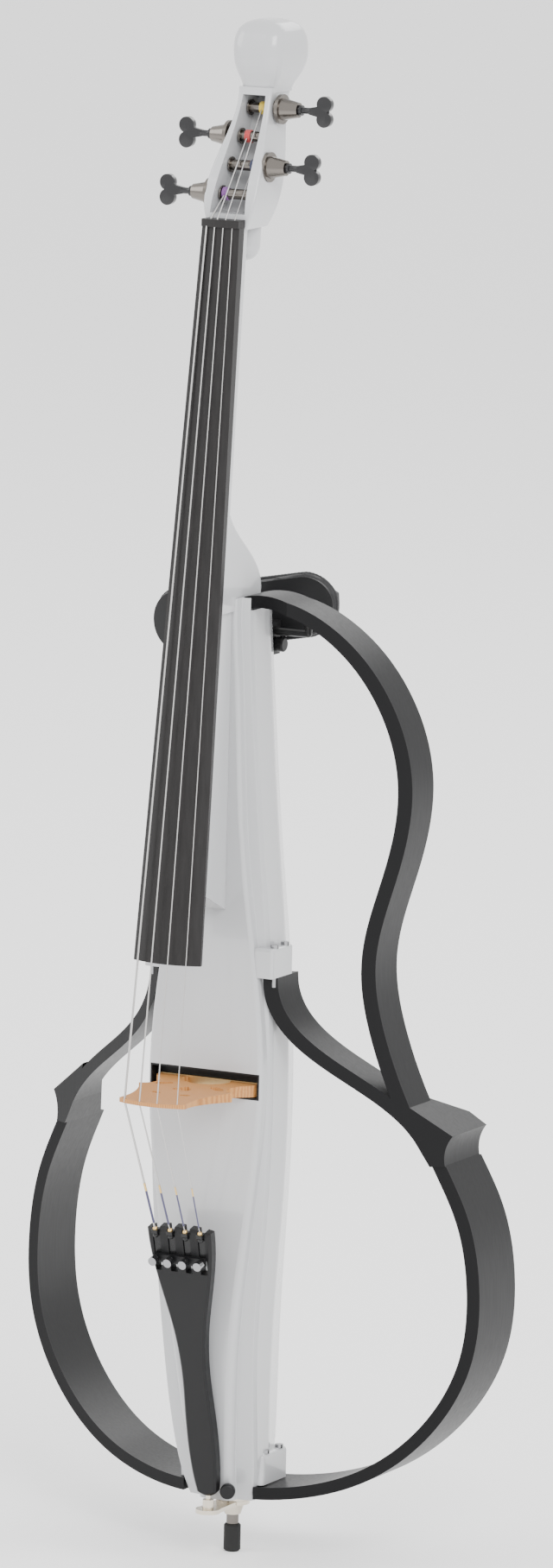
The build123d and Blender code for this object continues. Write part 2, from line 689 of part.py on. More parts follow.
# ================================================================= endpin
def make_endpin():
    """Steel rod and its rubber tip."""
    base = Vector(0, 0, tip_floor)
    pin = rod(base, base + Vector(0, 0, rod_length), rod_r)
    tip = rod(Vector(0, 0, 0), Vector(0, 0, tip_length), tip_r)
    tip = chamfer(tip.edges(), tip_round)
    return pin, tip - rod(base, Vector(0, 0, tip_length + 1), rod_r)


def make_socket():
    """Tube inside the body, flange and collar that guide the endpin."""
    base = bridge_z + body_bottom
    level = lambda rise: Vector(0, 0, base + rise)
    socket = rod(level(-1), level(socket_length), socket_r - assembly)
    socket += rod(level(-flange_thick + hanger_thick), level(-assembly), flange_r)
    socket = socket - rod(level(-flange_thick), level(socket_length + 1), rod_r + running)
    socket -= extrude(lock_frame() * Circle(lock_r + running), amount=60)
    collar = cone(level(-flange_thick), level(-flange_thick - collar_long), collar_r + 3, collar_r)
    plate = rod(level(-flange_thick), level(-flange_thick + hanger_thick - assembly), flange_r)
    hook = at(0, tail_front(tail_bottom) + tail_thick / 2, body_bottom - flange_thick)
    lobe = rod(hook, hook + Vector(0, 0, hanger_thick - assembly), hanger_r)
    web = Pos(0, hook.Y / 2, hook.Z) * Box(
        2 * hanger_r - 2, abs(hook.Y), hanger_thick - assembly, align=(Align.CENTER, Align.CENTER, Align.MIN))
    hanger = plate + lobe + web + collar + hook_pin(hook_r)
    hanger += rod(hook, hook + Vector(0, 0, flange_thick + 2.0), hook_r + 2.5)
    return socket, hanger - rod(level(-flange_thick - collar_long - 1), level(0), rod_r + running)


def make_lock_screw():
    """Thumb screw that presses on the endpin."""
    plane = lock_frame()
    stem = extrude(plane.offset(rod_r + fit_gap) * Circle(lock_r), amount=knob_from - rod_r)
    knob = extrude(plane.offset(knob_from) * Circle(knob_r), amount=knob_long)
    return stem + fillet(knob.edges(), 1.8)


# ================================================================= open frame
def strip_outline(points, thickness, side):
    """Closed outline of a bent strip whose outer edge runs through the points."""
    outer = Spline(*[(side * x, rise) for x, rise in points])
    count = 2 * len(points)
    inner_points = []
    for number in range(count + 1):
        share = number / count
        place, along = outer.position_at(share), outer.tangent_at(share)
        inner_points.append(place + Vector(along.Y, -along.X, 0) * thickness * side)
    inner = Spline(*inner_points)
    return make_face(Wire([
        *outer.edges(), *Line(outer @ 1, inner @ 1).edges(),
        *inner.edges(), *Line(inner @ 0, outer @ 0).edges(),
    ]))


def through(face):
    """A front-view outline made into a bar that runs from front to back."""
    plane = Plane(origin=at(0, -40, 0), x_dir=(1, 0, 0), z_dir=(0, -1, 0))
    return extrude(plane * face, amount=-260)


def sweep_front(x):
    """Depth of the upper frame's and strut's front edges at a sideways place."""
    return (x - sweep_start) * sweep_slope


def zone(front, back, side):
    """Upright wall of space between a front and a back line seen from above."""
    outline = [(side * x, face_y + depth) for x, depth in front + back[::-1]]
    return extrude(make_face(Polyline(*outline, close=True)), amount=900)


def make_upper_frame(side, lower):
    """Upper bout: leaves the shoulder, bows out, draws in at the waist and ends on the strut."""
    start = sweep_start + foot_front / sweep_slope
    front = [(0, foot_front), (start, foot_front), (frame_far, sweep_front(frame_far))]
    back = [(x, depth + upper_depth) for x, depth in front]
    return (through(strip_outline(upper_curve, band, side)) & zone(front, back, side)) - lower


def make_lower_frame(side, outside):
    """Strut with its corner, and lower bout: one line seen from the front, in two depths."""
    corner = make_face(Wire([
        *Line((side * horn[0][0], horn[0][1]), (side * horn[1][0], horn[1][1])).edges(),
        *Spline(*[(side * x, rise) for x, rise in horn[1:]]).edges(),
        *Polyline((side * horn[-1][0], horn[-1][1]), (side * 186, -98), (side * 150, -30),
                  (side * horn[0][0], horn[0][1])).edges(),
    ]))
    whole = through(strip_outline(lower_curve, band, side) + corner)
    front = [(20, sweep_front(20)), (frame_far, sweep_front(frame_far))]
    back = [(20, sweep_front(20) + strut_depth), (corner_start, sweep_front(corner_start) + strut_depth),
            (corner_end, corner_back), (frame_far, corner_back + (frame_far - corner_end) * low_back_slope)]
    strut = whole & zone(front, back, side) & block(-300, 300, -40, 240, split_rise, 200)
    front = [(0, low_front), (low_start, low_front),
             (frame_far, low_front + (frame_far - low_start) * low_slope)]
    back = [(0, low_back), (low_start, low_back),
            (frame_far, low_back + (frame_far - low_start) * low_back_slope)]
    bout = whole & zone(front, back, side) & block(-300, 300, -40, 240, -400, split_rise)
    return strut - outside, bout - outside


def make_brackets(outside):
    """White brackets that hold the frames to the body, two at the waist and two at the foot."""
    waist, foot = [], []
    for side in (-1, 1):
        low_x, high_x = sorted((side * 40, side * bracket_out))
        piece = block(low_x, high_x, 2, 2 + strut_depth, bracket_low, bracket_high)
        waist.append(soften(piece, 2.5) - outside)
        low_x, high_x = sorted((side * 18, side * flange_out))
        piece = block(low_x, high_x, low_front + 6, low_back - 8, flange_low, flange_high)
        foot.append(soften(piece, 4) - outside)
    return waist, foot


def soften(piece, radius):
    """Round the upright and top edges of a block."""
    low = piece.bounding_box().min.Z
    return fillet([edge for edge in piece.edges() if edge.center().Z > low + 0.1], radius)


def frame_screws():
    """Screws through the brackets into the struts and lower bouts, and into the shoulder."""
    screws = []
    for side in (-1, 1):
        for depth in (12, 30):
            head = at(side * (bracket_out - 3.6), depth, bracket_high)
            screws.append(screw_at(head, Vector(0, 0, -1), 32.0))
        for depth in (54, 78):
            screws.append(screw_at(at(side * (flange_out - 3.2), depth, flange_high), Vector(0, 0, -1), 20.0))
    return screws


# ================================================================= chest rest
def pad_sheet(near, thick, half, tall):
    """Curved plate with round ends, bowed so that its ends reach back to the player."""
    axis_depth = pad_depth + pad_bend
    bend = axis_depth - near
    ring = Pos(pad_shift, face_y + axis_depth, 0) * (Cylinder(bend, 200) - Cylinder(bend - thick, 200))
    face = SlotOverall(2 * half, tall)
    cutter = extrude(Plane.XZ * face, amount=-200)
    placed = Pos(pad_shift, face_y + near - 20, 0) * Rot(0, -pad_tilt, 0) * cutter
    return Pos(0, 0, bridge_z + pad_rise) * (ring & placed)


def make_chest_rest():
    """Padded chest rest: plate, pad and the wire that swings in the clamp."""
    plate = pad_sheet(pad_depth - plate_thick, plate_thick, pad_half - 4, pad_tall - 8)
    pad = pad_sheet(pad_depth + assembly, pad_thick, pad_half, pad_tall)
    left, right = at(-wire_half, wire_depth, wire_rise), at(wire_half, wire_depth, wire_rise)
    bar = rod(left, right, wire_r)
    for corner in (left, right):
        bar += Pos(corner.X, corner.Y, corner.Z) * Sphere(wire_r)
        top = corner + Vector(0, 1.5, wire_up)
        bar += rod(corner, top, wire_r) + Pos(top.X, top.Y, top.Z) * Sphere(wire_r)
        bar += rod(top, top + Vector(0, 30, 0), wire_r)
    return plate, pad, bar - plate - pad - behind_plate()


def behind_plate():
    """Everything on the player's side of the plate."""
    place = Pos(pad_shift, face_y + pad_depth + pad_bend, bridge_z + pad_rise)
    return place * Cylinder(pad_bend + plate_thick, 200)


def make_clamp(outside):
    """Block on the body's back that grips the wire, with its thumb wheel."""
    piece = block(-clamp_half, clamp_half, 50, clamp_back, clamp_low, clamp_high) - outside
    bar = rod(at(-60, wire_depth, wire_rise), at(60, wire_depth, wire_rise), wire_r + running)
    start = at(2, wire_depth, wheel_rise)
    hole = rod(start, start + Vector(60, 0, 0), wheel_stem_r + running)
    stem = rod(start + Vector(fit_gap, 0, 0), at(clamp_half + 2, wire_depth, wheel_rise), wheel_stem_r)
    wheel = rod(at(clamp_half + fit_gap, wire_depth, wheel_rise),
                at(clamp_half + fit_gap + wheel_long, wire_depth, wheel_rise), wheel_r)
    return piece - bar - hole, stem + chamfer(wheel.edges(), 1.0)


# ================================================================= electronics
def make_panel():
    """Recessed control panel with its sockets, volume knob and power switch."""
    low, high = panel_rise - panel_half + assembly, panel_rise + panel_half - assembly
    face = panel_x - panel_thick
    plate = block(face, panel_x, panel_front + assembly, panel_back - assembly, low, high)
    middle = (panel_front + panel_back) / 2
    sockets = []
    for _, rise, radius in jacks:
        outer = radius + jack_wall
        plate -= rod(at(face - 1, middle, rise), at(panel_x + 1, middle, rise), outer + assembly)
        sleeve = rod(at(face - 0.8, middle, rise), at(face + jack_long, middle, rise), outer)
        sleeve += rod(at(face - 0.8, middle, rise), at(face - 0.1, middle, rise), outer + 1.2)
        end = at(face + jack_long - 1.5, middle, rise)
        sockets.append(sleeve - rod(at(face - 2, middle, rise), end, radius))
    shaft_r = 3.0
    plate -= rod(at(face - 1, middle, volume_rise), at(panel_x + 1, middle, volume_rise), shaft_r + running)
    knob = rod(at(face - fit_gap, middle, volume_rise), at(face - fit_gap - volume_long, middle, volume_rise),
               volume_r)
    knob = chamfer(knob.edges(), 0.8) + rod(at(face - 1, middle, volume_rise),
                                            at(panel_x + 5, middle, volume_rise), shaft_r)
    slot = switch_half + switch_travel / 2 + fit_gap
    plate -= block(face - 1, panel_x + 1, middle - 1.6 - fit_gap, middle + 1.6 + fit_gap,
                   switch_rise - slot, switch_rise + slot)
    slider = block(face - 1.5, panel_x + 4, middle - 1.6, middle + 1.6,
                   switch_rise - switch_travel / 2 - switch_half,
                   switch_rise - switch_travel / 2 + switch_half)
    return plate, sockets, knob, slider


def make_power():
    """Battery door with its hinge pin, two cells, and the circuit board."""
    low = door_rise - door_tall / 2
    back = station_at(door_rise)[4]
    door = block(-door_half, door_half, back - door_thick, back + 0.3, low + 2 * hinge_r, low + door_tall)
    barrel = rod(at(-door_half, back - hinge_r, low + hinge_r), at(door_half, back - hinge_r, low + hinge_r),
                 hinge_r)
    link = block(-door_half, door_half, back - 2 * hinge_r, back - hinge_r + hinge_lap, low + hinge_r,
                 low + 2 * hinge_r + hinge_lap)
    cells = []
    for side in (-1, 1):
        x = side * (cell_r + 0.4)
        depth = back - door_thick - cell_r - 1.0
        start, end = at(x, depth, door_rise - cell_long / 2 + 2), at(x, depth, door_rise + cell_long / 2)
        cells.append(rod(start, end, cell_r) + rod(end, end + Vector(0, 0, 1.4), 2.6))
    board = block(-board_half, board_half, board_back, board_back + 1.6, board_low, board_high)
    return door + barrel + link, cells, board


def save_all():
    """Build every node and write it."""
    os.makedirs("parts", exist_ok=True)
    outside = body_block()
    shell, cover, cover_fixings = make_body(outside)
    fixings = frame_screws()
    for screw in fixings:
        shell -= screw
    save("body_shell", shell)
    save("back_cover", cover)
    save("cover_screws", *cover_fixings)
    space = string_space()
    save("neck", make_neck())
    save("nut", make_nut(space))
    save("fingerboard", make_board())
    save("bridge", make_bridge(space))
    tray, bar = make_seat()
    save("bridge_seat", tray)
    save("bridge_pickup", bar)
    save("tailpiece", make_tailpiece())
    save("tuner_bridge", make_tuner_bridge())
    save("lever_pins", *[make_lever_pin(name) for name in string_order])
    cases = []
    for name, side in pegs:
        post, case, key = make_peg(name, side)
        cases.append(case)
        save(f"post_{name}", post)
        save(f"key_{name}", key)
        save(f"string_{name}", make_string(name))
        save(f"fine_lever_{name}", make_lever(name))
        save(f"fine_screw_{name}", make_tuner_screw(name))
    save("peg_cases", *cases)
    pin, tip = make_endpin()
    socket, hanger = make_socket()
    save("endpin_rod", pin)
    save("endpin_tip", tip)
    save("endpin_socket", socket)
    save("tail_hanger", hanger)
    save("endpin_lock_screw", make_lock_screw())
    waist, foot = make_brackets(outside)
    for label, side in (("left", -1), ("right", 1)):
        strut, bout = make_lower_frame(side, outside)
        if side > 0:
            save("right_upper_bout", make_upper_frame(side, strut))
        for piece in (*waist, *fixings):
            strut -= piece
            bout -= piece
        save(f"{label}_strut", strut)
        save(f"{label}_lower_bout", bout)
    for screw in fixings:
        waist = [piece - screw for piece in waist]
        foot = [piece - screw for piece in foot]
    save("waist_brackets", *waist)
    save("foot_brackets", *foot)
    save("frame_screws", *fixings)
    plate, pad, wire = make_chest_rest()
    clamp, wheel = make_clamp(outside)
    save("chest_plate", plate)
    save("chest_pad", pad)
    save("chest_wire", wire)
    save("chest_clamp", clamp)
    save("chest_clamp_wheel", wheel)
    panel, sockets, knob, slider = make_panel()
    save("control_panel", panel)
    save("jack_sockets", *sockets)
    save("volume_knob", knob)
    save("power_switch", slider)
    door, cells, board = make_power()
    save("battery_door", door)
    save("batteries", *cells)
    save("circuit_board", board)


save_all()
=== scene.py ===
"""Looks of the electric cello: finishes, rounded keys, chest pad, string windings and the studio."""
import json
import math

import bpy
import bmesh
from bpy.props import FloatProperty, FloatVectorProperty, IntProperty, PointerProperty
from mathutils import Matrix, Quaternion, Vector, geometry


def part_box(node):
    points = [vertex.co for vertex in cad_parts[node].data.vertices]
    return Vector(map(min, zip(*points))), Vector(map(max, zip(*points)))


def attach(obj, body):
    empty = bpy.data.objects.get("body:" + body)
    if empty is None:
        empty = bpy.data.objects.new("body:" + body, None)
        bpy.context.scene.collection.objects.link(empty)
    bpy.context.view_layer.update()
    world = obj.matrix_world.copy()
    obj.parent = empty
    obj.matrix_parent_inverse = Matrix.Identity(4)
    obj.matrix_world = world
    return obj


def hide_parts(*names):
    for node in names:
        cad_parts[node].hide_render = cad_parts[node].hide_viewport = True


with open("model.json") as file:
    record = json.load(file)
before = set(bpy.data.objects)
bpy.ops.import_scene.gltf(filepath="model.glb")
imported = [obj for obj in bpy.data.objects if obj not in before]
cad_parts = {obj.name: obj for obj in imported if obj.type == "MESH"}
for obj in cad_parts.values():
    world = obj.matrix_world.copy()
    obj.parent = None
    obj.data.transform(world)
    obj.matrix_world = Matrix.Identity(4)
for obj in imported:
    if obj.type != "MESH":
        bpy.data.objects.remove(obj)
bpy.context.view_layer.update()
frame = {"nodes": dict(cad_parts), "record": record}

bl_info = {
    "name": "Electric cello",
    "version": (1, 0, 0),
    "blender": (4, 5, 0),
    "location": "View3D > Sidebar > Cello",
    "description": "Finishes and soft parts of a full-size electric cello",
    "category": "Object",
}

STRINGS = ("c", "g", "d", "a")
BRIDGE_HEIGHT = (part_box("bridge")[0].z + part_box("bridge")[1].z) / 2
NUT_HEIGHT = (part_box("nut")[0].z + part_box("nut")[1].z) / 2
WELD = 1e-6                  # vertices closer than this are one

# half heights of the slices in which a string's vertices are looked for, in metres
RING_REACH = 0.0004
LOW_END_REACH, BRIDGE_REACH, POST_REACH = 0.0015, 0.0012, 0.002

# chest pad
PAD_SHRINK = 0.97            # the cover starts smaller than the foam's room, because air swells it
PAD_PRESSURE = 4.0
PAD_EDGE_REACH = 0.006       # how far round a corner both faces of the pad are looked for

# windings: shares of the run from a string's lower end to the bridge, and how deep the grooves are
SILK_FROM, SILK_TO, WRAP_TO = 0.05, 0.30, 0.36
THREAD_RIDGE, POST_RIDGE, PIPING_RIDGE = 0.1, 0.06, 0.12
POST_TURNS, TURN_POINTS = 4, 24
POST_SPREAD = 2              # pitch of the turns on a post, in thread pitches
POST_THREAD = 1.1            # radius of the thread on a post, in thread pitches
GOLD = (0.72, 0.50, 0.20)

# stage, in metres
SKY_STRENGTH = 1.75
LIGHT_TARGET = Vector((0, 0, 0.62))
LIGHTS = {                   # place and width of each soft light
    "key": ((3.6, -3.4, 4.2), 3.0),
    "fill": ((-4.2, -2.6, 3.4), 3.4),
    "rear": ((0.6, 4.6, 4.4), 3.4),
}
VIEW_ROUND, VIEW_HEIGHT, VIEW_LEAN = 27.14, 8.16, 1.30      # degrees
VIEW_DISTANCE = 8.0
VIEW_FROM = Vector((0.0589, -0.066, 0.7652))                # the camera stands back from this point
SIGHT_POINT = Vector((0.0587, -0.066, 0.6441))
SENSOR_WIDTH, LENS = 36.0, 232.0                            # millimetres

SLOT_OF = {part["node"]: part["material_slot"] for part in frame["record"]["subparts"]}


# ------------------------------------------------------------------ shader building
class Value:
    """A number that varies over a surface or along a path, used in plain arithmetic."""

    def __init__(self, nodes, socket):
        self.nodes = nodes
        self.socket = socket

    def _math(self, operation, first, second):
        node = self.nodes.node("ShaderNodeMath", {"operation": operation}, {0: first, 1: second})
        return Value(self.nodes, node.outputs[0])

    def __add__(self, other):
        return self._math("ADD", self, other)

    def __rsub__(self, other):
        return self._math("SUBTRACT", other, self)

    def __mul__(self, other):
        return self._math("MULTIPLY", self, other)

    def __mod__(self, other):
        return self._math("MODULO", self, other)

    def __pow__(self, other):
        return self._math("POWER", self, other)

    __radd__ = __add__
    __rmul__ = __mul__


class Nodes:
    """A node tree that is filled one node at a time."""

    def __init__(self, tree):
        self.tree = tree

    def node(self, kind, settings=None, values=None):
        made = self.tree.nodes.new(kind)
        for key, setting in (settings or {}).items():
            setattr(made, key, setting)
        for key, value in (values or {}).items():
            self.feed(made.inputs[key], value)
        return made

    def feed(self, socket, value):
        if isinstance(value, Value):
            self.tree.links.new(value.socket, socket)
        elif isinstance(value, bpy.types.NodeSocket):
            self.tree.links.new(value, socket)
        else:
            socket.default_value = value


class Finish(Nodes):
    """One material: a Principled surface with procedural variation on the object's own coordinates."""

    def __init__(self, name, colour, roughness, metallic=0.0, coat=0.0, coat_roughness=0.05, sheen=0.0,
                 specular=0.5):
        self.material = bpy.data.materials.new(name)
        self.material.use_nodes = True
        super().__init__(self.material.node_tree)
        self.shader = self.tree.nodes["Principled BSDF"]
        self.put("Base Color", (*colour, 1.0))
        self.put("Roughness", roughness)
        self.put("Metallic", metallic)
        self.put("Coat Weight", coat)
        self.put("Coat Roughness", coat_roughness)
        self.put("Sheen Weight", sheen)
        self.put("Specular IOR Level", specular)
        self.material.diffuse_color = (*colour, 1.0)

    def put(self, name, value):
        self.feed(self.shader.inputs[name], value)

    def place(self, stretch=(1.0, 1.0, 1.0)):
        spot = self.node("ShaderNodeTexCoord").outputs["Object"]
        return self.node("ShaderNodeMapping", None, {"Vector": spot, "Scale": stretch}).outputs[0]

    def noise(self, scale, detail, stretch=(1.0, 1.0, 1.0)):
        made = self.node("ShaderNodeTexNoise", None,
                         {"Vector": self.place(stretch), "Scale": scale, "Detail": detail})
        return Value(self, made.outputs[0])

    def cells(self, scale):
        made = self.node("ShaderNodeTexVoronoi", {"feature": "DISTANCE_TO_EDGE"},
                         {"Vector": self.place(), "Scale": scale})
        return Value(self, made.outputs[0])

    def rings(self, scale, distortion):
        made = self.node("ShaderNodeTexWave", {"wave_type": "BANDS", "bands_direction": "X"},
                         {"Vector": self.place(), "Scale": scale, "Distortion": distortion})
        return Value(self, made.outputs[1])

    def tint(self, amount, low, high):
        made = self.node("ShaderNodeMix", {"data_type": "RGBA"},
                         {0: amount, 6: (*low, 1.0), 7: (*high, 1.0)})
        self.put("Base Color", made.outputs[2])

    def relief(self, height, distance, strength):
        made = self.node("ShaderNodeBump", None,
                         {"Height": height, "Distance": distance, "Strength": strength})
        self.put("Normal", made.outputs[0])


def pearl(settings):
    finish = Finish("pearl_lacquer", settings.pearl, 0.2, coat=0.6, coat_roughness=0.06)
    flake = finish.noise(scale=2600.0, detail=2.0)
    cloud = finish.noise(scale=9.0, detail=2.0)
    low = [c * 0.975 for c in settings.pearl]
    finish.tint(flake * 0.5 + cloud * 0.5, low, settings.pearl)
    finish.put("Roughness", 0.2 + flake * 0.1)
    finish.relief(finish.noise(scale=240.0, detail=1.0), distance=0.00002, strength=0.3)
    return finish


def lacquered_wood(settings):
    finish = Finish("satin_black_wood", settings.frame, 0.34, coat=0.02, coat_roughness=0.2, specular=0.14)
    grain = finish.noise(scale=420.0, detail=4.0, stretch=(1.0, 1.0, 0.06))
    finish.put("Roughness", 0.28 + grain * 0.16)
    finish.relief(grain, distance=0.00006, strength=0.35)
    return finish


def ebony(settings):
    finish = Finish("ebony_black", settings.board, 0.42, specular=0.25)
    streak = finish.noise(scale=380.0, detail=5.0, stretch=(1.0, 1.0, 0.03))
    low = [c * 0.55 for c in settings.board]
    high = [c * 1.5 for c in settings.board]
    finish.tint(streak, low, high)
    finish.put("Roughness", 0.34 + streak * 0.2)
    finish.relief(streak, distance=0.00005, strength=0.4)
    return finish


def maple(settings):
    finish = Finish("maple", settings.bridge, 0.5, coat=0.04, coat_roughness=0.3, specular=0.3)
    growth = finish.rings(scale=170.0, distortion=2.5)
    fleck = finish.noise(scale=900.0, detail=3.0, stretch=(0.25, 1.0, 1.0))
    dark = [c * s for c, s in zip(settings.bridge, (0.55, 0.40, 0.28))]
    finish.tint(growth * 0.55 + fleck * 0.45, dark, settings.bridge)
    finish.put("Roughness", 0.42 + fleck * 0.18)
    finish.relief(fleck, distance=0.00005, strength=0.4)
    return finish


def moulded(name, colour, roughness, texture=0.00006, coat=0.0):
    finish = Finish(name, colour, roughness, coat=coat * 0.5, specular=0.25)
    speck = finish.noise(scale=1500.0, detail=2.0)
    handling = finish.noise(scale=25.0, detail=3.0)
    finish.put("Roughness", roughness - 0.07 + speck * 0.06 + handling * 0.08)
    finish.relief(speck, distance=texture, strength=0.3)
    return finish


def metal(name, colour, roughness):
    finish = Finish(name, colour, roughness, metallic=1.0)
    brush = finish.noise(scale=900.0, detail=3.0, stretch=(1.0, 1.0, 0.08))
    rub = finish.noise(scale=60.0, detail=4.0)
    finish.put("Roughness", roughness - 0.05 + brush * 0.06 + rub ** 2 * 0.12)
    finish.relief(brush, distance=0.00001, strength=0.25)
    return finish


def leather(settings):
    finish = Finish("pad_foam", settings.pad, 0.52, sheen=0.05, specular=0.3)
    pebble = finish.cells(scale=520.0)
    finish.put("Roughness", 0.44 + pebble * 0.5)
    finish.relief(pebble, distance=0.00025, strength=0.6)
    return finish


def silk(name, colour):
    finish = Finish(name, colour, 0.55, sheen=0.4)
    thread = finish.noise(scale=2200.0, detail=2.0)
    finish.tint(thread, [c * 0.7 for c in colour], colour)
    return finish


def make_finishes():
    settings = bpy.context.scene.cello_colours
    return {
        "pearl_lacquer": pearl(settings),
        "satin_black_wood": lacquered_wood(settings),
        "ebony_black": ebony(settings),
        "maple": maple(settings),
        "black_plastic": moulded("black_plastic", (0.006, 0.006, 0.0065), 0.40),
        "piezo_bar": metal("piezo_bar", (0.70, 0.52, 0.26), 0.3),
        "string_steel": metal("string_steel", (0.52, 0.51, 0.50), 0.28),
        "nickel": metal("nickel", (0.66, 0.60, 0.50), 0.22),
        "fine_tuner_black": moulded("fine_tuner_black", (0.008, 0.008, 0.0085), 0.28, coat=0.4),
        "screw_steel": metal("screw_steel", (0.30, 0.30, 0.31), 0.22),
        "dark_nickel": metal("dark_nickel", (0.17, 0.155, 0.14), 0.2),
        "gloss_black": moulded("gloss_black", (0.012, 0.012, 0.013), 0.14, 0.00001, 0.7),
        "rubber_black": moulded("rubber_black", (0.015, 0.015, 0.015), 0.7, 0.0001),
        "pad_foam": leather(settings),
        "wire_black": moulded("wire_black", (0.014, 0.014, 0.014), 0.3, 0.00002, 0.3),
        "cell_wrap": moulded("cell_wrap", (0.42, 0.36, 0.10), 0.35),
        "board_green": moulded("board_green", (0.03, 0.16, 0.07), 0.4),
    }


FINISHES = {}


# ------------------------------------------------------------------ shapes
def body_of_node(node):
    """CAD body that a node belongs to."""
    for body, nodes in frame["record"]["behaviour"]["bodies"].items():
        if node in nodes:
            return body
    raise RuntimeError(f"{node} is on no body")


def merged_copy(node, name):
    """Welded copy of a CAD node's surface."""
    mesh = frame["nodes"][node].data.copy()
    mesh.name = name
    work = bmesh.new()
    work.from_mesh(mesh)
    bmesh.ops.remove_doubles(work, verts=work.verts, dist=WELD)
    bmesh.ops.recalc_face_normals(work, faces=work.faces)
    work.to_mesh(mesh)
    work.free()
    made = bpy.data.objects.new(name, mesh)
    bpy.context.scene.collection.objects.link(made)
    return made


def applied(made):
    """Turn an object's modifiers into plain mesh."""
    graph = bpy.context.evaluated_depsgraph_get()
    made.data = bpy.data.meshes.new_from_object(made.evaluated_get(graph))
    made.modifiers.clear()
    return made


def rounded(node, name, width):
    """A CAD node with its hard edges eased; it stands for the node."""
    made = merged_copy(node, name)
    edge = made.modifiers.new("edges", "BEVEL")
    edge.width = width
    edge.segments = 3
    edge.limit_method = "ANGLE"
    edge.angle_limit = math.radians(32)
    edge.use_clamp_overlap = True
    applied(made)
    made.data.shade_smooth()
    stand_for(made, node)


def stand_for(made, node):
    """Give a piece its node's finish, body and slot."""
    slot = SLOT_OF[node]
    made.data.materials.clear()
    made.data.materials.append(FINISHES[slot].material)
    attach(made, body_of_node(node))
    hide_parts(node)


def centre_near(node, height, reach):
    """Middle of a string where it passes a height."""
    points = [v.co for v in frame["nodes"][node].data.vertices if abs(v.co.z - height) < reach]
    if not points:
        raise RuntimeError(f"{node} has no ring near {height}")
    low = Vector([min(p[k] for p in points) for k in range(3)])
    high = Vector([max(p[k] for p in points) for k in range(3)])
    return (low + high) / 2


# ------------------------------------------------------------------ winding tree
def winding_tree():
    """Thread laid side by side along a path: inputs are radius, pitch, ridge and finish."""
    tree = bpy.data.node_groups.new("thread_winding", "GeometryNodeTree")
    face = tree.interface
    face.new_socket("Geometry", in_out="INPUT", socket_type="NodeSocketGeometry")
    for name, value in (("Radius", 0.001), ("Pitch", 0.0005), ("Ridge", 0.08)):
        face.new_socket(name, in_out="INPUT", socket_type="NodeSocketFloat").default_value = value
    face.new_socket("Finish", in_out="INPUT", socket_type="NodeSocketMaterial")
    face.new_socket("Geometry", in_out="OUTPUT", socket_type="NodeSocketGeometry")
    nodes = Nodes(tree)
    entry = nodes.node("NodeGroupInput").outputs
    pitch, ridge = Value(nodes, entry["Pitch"]), Value(nodes, entry["Ridge"])
    point = Value(nodes, nodes.node("GeometryNodeInputIndex").outputs[0])
    path = nodes.node("GeometryNodeMeshToCurve", None, {0: entry["Geometry"]}).outputs[0]
    even = nodes.node("GeometryNodeResampleCurve", {"mode": "LENGTH"}, {"Curve": path, "Length": pitch * 0.5})
    thick = nodes.node("GeometryNodeSetCurveRadius", None,
                       {"Curve": even.outputs[0], "Radius": 1.0 - point % 2.0 * ridge})
    profile = nodes.node("GeometryNodeCurvePrimitiveCircle", None,
                         {"Resolution": 12, "Radius": entry["Radius"]})
    radius = nodes.node("GeometryNodeInputRadius").outputs[0]
    sweep = nodes.node("GeometryNodeCurveToMesh", None,
                       {"Curve": thick.outputs[0], "Profile Curve": profile.outputs[0], "Scale": radius,
                        "Fill Caps": True})
    real = nodes.node("GeometryNodeRealizeInstances", None, {0: sweep.outputs[0]})
    coat = nodes.node("GeometryNodeSetMaterial", None,
                      {"Geometry": real.outputs[0], "Material": entry["Finish"]})
    nodes.node("NodeGroupOutput", None, {0: coat.outputs[0]})
    return tree


def wound(name, path, radius, pitch, ridge, finish, tree, body):
    """A winding along a path, as plain mesh."""
    mesh = bpy.data.meshes.new(name)
    mesh.from_pydata([tuple(p) for p in path], [(i, i + 1) for i in range(len(path) - 1)], [])
    made = bpy.data.objects.new(name, mesh)
    bpy.context.scene.collection.objects.link(made)
    modifier = made.modifiers.new("winding", "NODES")
    modifier.node_group = tree
    wanted = {"Radius": radius, "Pitch": pitch, "Ridge": ridge, "Finish": finish.material}
    for item in tree.interface.items_tree:
        if item.in_out == "INPUT" and item.name in wanted:
            modifier[item.identifier] = wanted[item.name]
    applied(made)
    if not made.data.polygons:
        raise RuntimeError(f"{name} came out empty")
    made.data.shade_smooth()
    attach(made, body)


